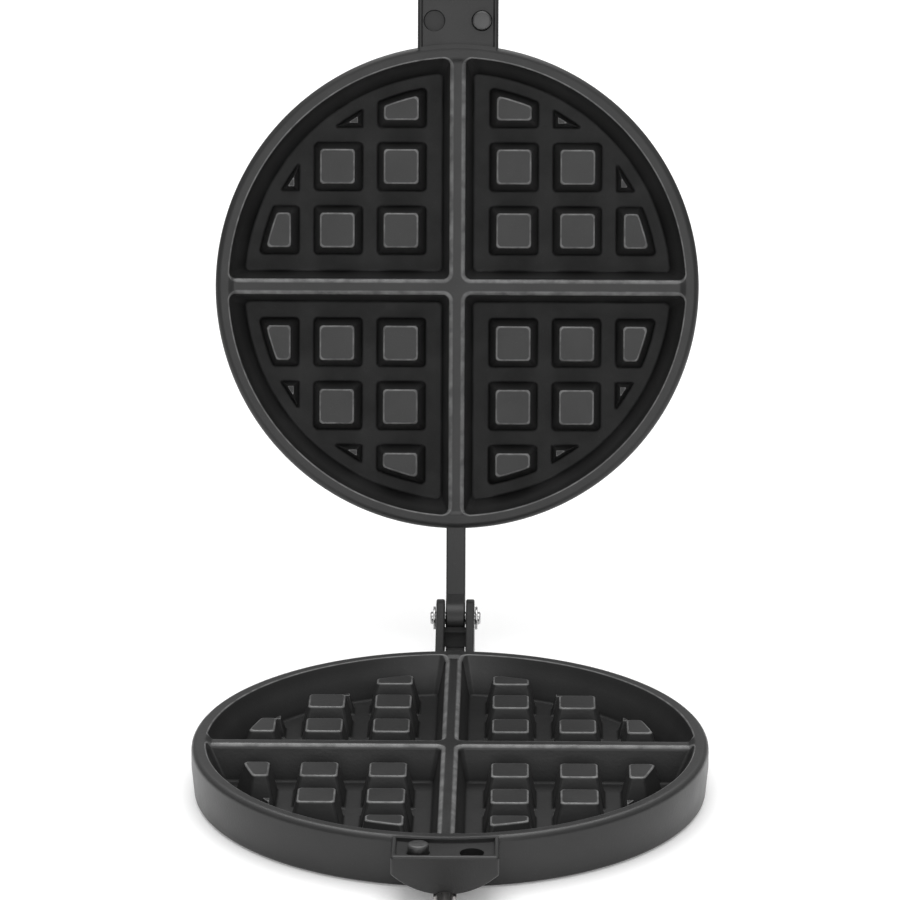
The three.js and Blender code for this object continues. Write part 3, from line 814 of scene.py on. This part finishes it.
def bail():
    """The latch wire, lying folded on the upper grip's back."""
    half, reach, bend, inset, wire = 16.65, 26.0, 3.5, 10.4, 1.25
    drop = ROD_HIGH - (GRIP_FLAT - GRIP_RADIUS - wire - GAP)  # from the pivot to the wire on the grip's back
    corners = [(-inset, 0), (-half, 0), (-half, reach), (half, reach), (half, 0), (inset, 0)]
    path = np.array(rounded(corners, [bend] * 4, 10))
    along = np.gradient(path, axis=0)
    along /= np.linalg.norm(along, axis=1)[:, None]
    radii = [wire * 0.6] + [wire] * (len(path) - 2) + [wire * 0.6]
    rings = []
    for (x, y), (dx, dy), radius in zip(path, along, radii):
        rings.append([(x - dy * u, y + dx * u, w) for u, w in circle(radius, 20)])
    made = stack("bail", rings)
    fold = Matrix.Rotation(-math.asin(drop / reach), 4, "X")
    made.data.transform(Matrix.Translation((0, -PIVOT_Y, ROD_HIGH)) @ fold)
    return made


# ---- materials ----

def shader(name, **values):
    """A material with one Principled shader, its node tree and that shader."""
    made = bpy.data.materials.new(name)
    made.use_nodes = True
    tree = made.node_tree
    principled = tree.nodes["Principled BSDF"]
    for key, value in values.items():
        principled.inputs[key].default_value = value
    return made, tree, principled


def noise(tree, scale, detail=3.0, roughness=0.55, stretch=(1, 1, 1)):
    """Noise on the object's own coordinates, in metres; scale counts its waves in a metre."""
    coordinates = tree.nodes.new("ShaderNodeTexCoord")
    mapping = tree.nodes.new("ShaderNodeMapping")
    mapping.inputs["Scale"].default_value = stretch
    texture = tree.nodes.new("ShaderNodeTexNoise")
    texture.inputs["Scale"].default_value = scale
    texture.inputs["Detail"].default_value = detail
    texture.inputs["Roughness"].default_value = roughness
    tree.links.new(coordinates.outputs["Object"], mapping.inputs["Vector"])
    tree.links.new(mapping.outputs["Vector"], texture.inputs["Vector"])
    return texture.outputs["Fac"]


def ramp(tree, value, stops):
    """A colour ramp from (position, colour) stops."""
    node = tree.nodes.new("ShaderNodeValToRGB")
    node.color_ramp.elements[0].position, node.color_ramp.elements[0].color = stops[0]
    node.color_ramp.elements[1].position, node.color_ramp.elements[1].color = stops[-1]
    for position, colour in stops[1:-1]:
        node.color_ramp.elements.new(position).color = colour
    tree.links.new(value, node.inputs["Fac"])
    return node.outputs["Color"]


def grey(value, warmth=0.0):
    return (value * (1 + warmth), value, value * (1 - warmth), 1)


def mixed(tree, first, second, factor, mode="MIX"):
    node = tree.nodes.new("ShaderNodeMix")
    node.data_type = "RGBA"
    node.blend_type = mode
    tree.links.new(first, node.inputs["A"])
    tree.links.new(second, node.inputs["B"])
    if hasattr(factor, "links"):
        tree.links.new(factor, node.inputs["Factor"])
    else:
        node.inputs["Factor"].default_value = factor
    return node.outputs["Result"]


def bump(tree, principled, layers):
    """Bumps stacked from (height, strength, distance in metres) layers."""
    normal = None
    for height, strength, distance in layers:
        node = tree.nodes.new("ShaderNodeBump")
        node.inputs["Strength"].default_value = strength
        node.inputs["Distance"].default_value = distance
        tree.links.new(height, node.inputs["Height"])
        if normal:
            tree.links.new(normal, node.inputs["Normal"])
        normal = node.outputs["Normal"]
    tree.links.new(normal, principled.inputs["Normal"])


def non_stick():
    """Satin charcoal coating on a cast surface: fine orange peel and faint mottling, duller deep in the
    pockets with painted shade that darkens them towards the floor, and paler along rounded edges, partly wear
    and partly a painted highlight."""
    made, tree, principled = shader("non_stick_coating", Metallic=0.0)
    principled.inputs["Specular IOR Level"].default_value = 0.44
    deep = tree.nodes.new("ShaderNodeAttribute")
    deep.attribute_name = "pocket_depth"
    # Base colour by depth in the pockets, near black on the floors: painted shade in the recesses.
    stops = [(0.15, grey(0.014)), (0.4, grey(0.023)), (0.8, grey(0.017)), (0.97, grey(0.004))]
    depth_shade = ramp(tree, deep.outputs["Fac"], stops)
    blotch = ramp(tree, noise(tree, 60, 4), [(0.3, grey(0.86)), (0.7, grey(1.1))])
    base = mixed(tree, depth_shade, blotch, 1.0, "MULTIPLY")
    fleck = ramp(tree, noise(tree, 1500, 2, 0.7), [(0.62, grey(0.0)), (0.75, grey(0.010))])
    body = mixed(tree, base, fleck, 1.0, "ADD")
    # Rounded edges are painted paler: partly wear, partly a painted highlight along every edge.
    worn_and_highlit = tree.nodes.new("ShaderNodeAttribute")
    worn_and_highlit.attribute_name = "edge_wear_highlight"
    rub_and_highlight = tree.nodes.new("ShaderNodeMath")
    rub_and_highlight.operation = "MULTIPLY"
    tree.links.new(worn_and_highlit.outputs["Fac"], rub_and_highlight.inputs[0])
    tree.links.new(ramp(tree, noise(tree, 220, 4), [(0.35, grey(0.4)), (0.65, grey(1))]), rub_and_highlight.inputs[1])
    pale = tree.nodes.new("ShaderNodeRGB")
    pale.outputs[0].default_value = grey(0.15)
    tree.links.new(mixed(tree, body, pale.outputs[0], rub_and_highlight.outputs[0]), principled.inputs["Base Color"])
    dull = ramp(tree, deep.outputs["Fac"], [(0.15, grey(0.38)), (0.7, grey(0.46)), (1.0, grey(0.6))])
    patches = ramp(tree, noise(tree, 90, 3), [(0.3, grey(0.92)), (0.7, grey(1.08))])
    tree.links.new(mixed(tree, dull, patches, 1.0, "MULTIPLY"), principled.inputs["Roughness"])
    bump(tree, principled, [(noise(tree, 900, 2), 0.35, 0.00012), (noise(tree, 2600, 1), 0.25, 0.00004)])
    return made


def metal(name, colour, roughness, stretch, tint=0.0):
    """Drawn or turned steel: fine lines along one way, uneven polish."""
    made, tree, principled = shader(name, Metallic=1.0)
    lines = noise(tree, 900, 3, 0.6, stretch)
    cloud = noise(tree, 70, 3)
    shade = ramp(tree, cloud, [(0.3, grey(colour * 0.82, tint)), (0.7, grey(colour * 1.1, tint))])
    streak = ramp(tree, lines, [(0.25, grey(0.78)), (0.75, grey(1.0))])
    tree.links.new(mixed(tree, shade, streak, 1.0, "MULTIPLY"), principled.inputs["Base Color"])
    polish = ramp(tree, lines, [(0.2, grey(roughness * 0.75)), (0.8, grey(roughness * 1.35))])
    tree.links.new(polish, principled.inputs["Roughness"])
    bump(tree, principled, [(lines, 0.2, 0.00005)])
    return made


def phenolic():
    """Moulded black phenolic: deep black, a soft sheen, faint swirl and fine handling marks."""
    made, tree, principled = shader("phenolic_moulding")
    principled.inputs["Specular IOR Level"].default_value = 0.5
    swirl = ramp(tree, noise(tree, 45, 5, 0.6, (1, 0.35, 1)), [(0.3, grey(0.011)), (0.7, grey(0.019))])
    tree.links.new(swirl, principled.inputs["Base Color"])
    marks = ramp(tree, noise(tree, 500, 3, 0.6, (1, 0.15, 1)), [(0.3, grey(0.30)), (0.75, grey(0.46))])
    tree.links.new(marks, principled.inputs["Roughness"])
    bump(tree, principled, [(noise(tree, 700, 2), 0.15, 0.00008)])
    return made


MATERIALS = {
    "coating": non_stick(),
    "dowel": metal("black_oxide_steel", 0.10, 0.42, (1, 1, 1)),
    "rod": metal("drawn_rod_steel", 0.48, 0.3, (1, 0.04, 1), 0.03),
    "fitting": metal("plated_fitting_steel", 0.55, 0.26, (1, 1, 0.2)),
    "wire": metal("bright_wire_steel", 0.55, 0.24, (0.3, 0.3, 1)),
    "phenolic": phenolic(),
}


# ---- assembly ----

def finish_piece(made, name, material, body, slot, *nodes, place=None, sharp=38):
    """Carries a piece into the row frame, smooths it, ties it to its body and hides the CAD nodes it
    replaces; slot is not used.
    """
    made.name = name
    made.data.transform(Matrix.Scale(MM, 4) @ place)
    made.data.materials.clear()
    made.data.materials.append(MATERIALS[material])
    made.data.polygons.foreach_set("use_smooth", [True] * len(made.data.polygons))
    made.data.set_sharp_from_angle(angle=math.radians(sharp))
    weighted = made.modifiers.new("weighted", "WEIGHTED_NORMAL")
    weighted.keep_sharp = True
    weighted.weight = 80
    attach(made, body)
    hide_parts(*nodes)
    return made


def build_half(name, arms):
    place = PLACES[name]
    reach = TAB[name][1]
    parts = [
        (mould(name, arms), "mould", "coating", "non_stick_casting"),
        (locating_peg(), "locating_peg", "dowel", "black_steel"),
        (handle_rod(reach), "handle_rod", "rod", "rod_steel"),
        (screw(SCREW_Y[0]), "handle_screw_rear", "fitting", "bright_steel"),
        (screw(SCREW_Y[1]), "handle_screw_front", "fitting", "bright_steel"),
        (ferrule(), "ferrule", "fitting", "bright_steel"),
        (grip(name == "upper"), "grip", "phenolic", "phenolic"),
        (washer(), "grip_washer", "fitting", "bright_steel"),
        (cap_nut(), "cap_nut", "fitting", "bright_steel"),
    ]
    for made, part, material, slot in parts:
        node = f"{name}_{part}"
        finish_piece(made, node + "_finish", material, name, slot, node, place=place)


build_half("lower", ears())
build_half("upper", tongue())
finish_piece(hinge_pin(), "hinge_pin_finish", "fitting", "lower", "bright_steel", "hinge_pin",
             place=PLACES["lower"])
for side, word in ((-1, "left"), (1, "right")):
    finish_piece(hinge_clip(side), f"hinge_clip_{word}_finish", "fitting", "lower", "bright_steel",
                 f"hinge_clip_{word}", place=PLACES["lower"])
finish_piece(bail(), "latch_bail_finish", "wire", "latch", "spring_wire", "latch_bail", place=PLACES["upper"])


# ---- stage, light and camera ----

FLOOR_HALF = 40.0  # wide enough that no low view looks past its edge
FLOOR_DROP = 0.0005  # below what stands on it


def floor():
    """A pale floor with a faint glow of its own, which fills the shadows."""
    surface = Surface()
    corners = ((-1, -1), (1, -1), (1, 1), (-1, 1))
    start = surface.add([(x * FLOOR_HALF, y * FLOOR_HALF, -FLOOR_DROP) for x, y in corners])
    surface.cap(start, 4)
    made = mesh_object("floor", surface.vertices, surface.faces)
    material, tree, principled = shader("pale_floor", Roughness=0.9)
    principled.inputs["Specular IOR Level"].default_value = 0.1
    principled.inputs["Emission Color"].default_value = grey(1.0)
    principled.inputs["Emission Strength"].default_value = 0.15
    tint = ramp(tree, noise(tree, 3, 2), [(0.3, grey(0.9)), (0.7, grey(0.92))])
    tree.links.new(tint, principled.inputs["Base Color"])
    made.data.materials.append(material)


def area_light(name, place, target, size, power):
    """A soft rectangular light, size in metres and power in watts, that the camera doesn't see."""
    lamp = bpy.data.lights.new(name, "AREA")
    lamp.shape = "RECTANGLE"
    lamp.size, lamp.size_y = size
    lamp.energy = power
    made = bpy.data.objects.new(name, lamp)
    bpy.context.scene.collection.objects.link(made)
    made.visible_camera = False
    made.location = place
    made.rotation_euler = (Vector(target) - Vector(place)).to_track_quat("-Z", "Y").to_euler()


def light():
    """A sky that is bright overhead and dim at the horizon, and three soft lights."""
    world = bpy.data.worlds.new("studio")
    world.use_nodes = True
    background = world.node_tree.nodes["Background"]
    direction = world.node_tree.nodes.new("ShaderNodeTexCoord")
    height = world.node_tree.nodes.new("ShaderNodeSeparateXYZ")
    world.node_tree.links.new(direction.outputs["Generated"], height.inputs["Vector"])
    stops = [(0.0, grey(0.16)), (0.3, grey(0.3)), (1.0, grey(1.0))]
    sky = ramp(world.node_tree, height.outputs["Z"], stops)
    world.node_tree.links.new(sky, background.inputs["Color"])
    background.inputs["Strength"].default_value = 1.2
    bpy.context.scene.world = world
    area_light("top", (0, 0.1, 1.7), (0, 0.05, 0), (1.4, 1.4), 10)
    area_light("front", (0.1, -2.2, 0.8), (0, 0.1, 0.15), (1.8, 1.3), 12)
    area_light("back", (0, 1.3, 1.9), (0, 0.5, 0), (1.6, 0.9), 14)
    bpy.context.scene.view_settings.view_transform = "Standard"


SENSOR = 36  # width in mm
DISTANCE = 1.75  # from the lower mould's rim centre
ELEVATION = 21.4  # of that line
PITCH = 17.88  # of the camera's own axis
AZIMUTH = 0.95  # of the camera, round from the front towards +X
FOCAL_PER_WIDTH = 5.226


def camera():
    """A long lens looking down at the open iron from the front."""
    data = bpy.data.cameras.new("camera")
    data.sensor_width = SENSOR
    data.lens = SENSOR * FOCAL_PER_WIDTH
    made = bpy.data.objects.new("camera", data)
    bpy.context.scene.collection.objects.link(made)
    rise, swing = math.radians(ELEVATION), math.radians(AZIMUTH)
    away = DISTANCE * math.cos(rise)
    height = MOULD_HEIGHT * MM + DISTANCE * math.sin(rise)
    made.location = (away * math.sin(swing), -away * math.cos(swing), height)
    made.rotation_euler = (math.radians(90 - PITCH), 0, swing)
    bpy.context.scene.camera = made


floor()
light()
camera()
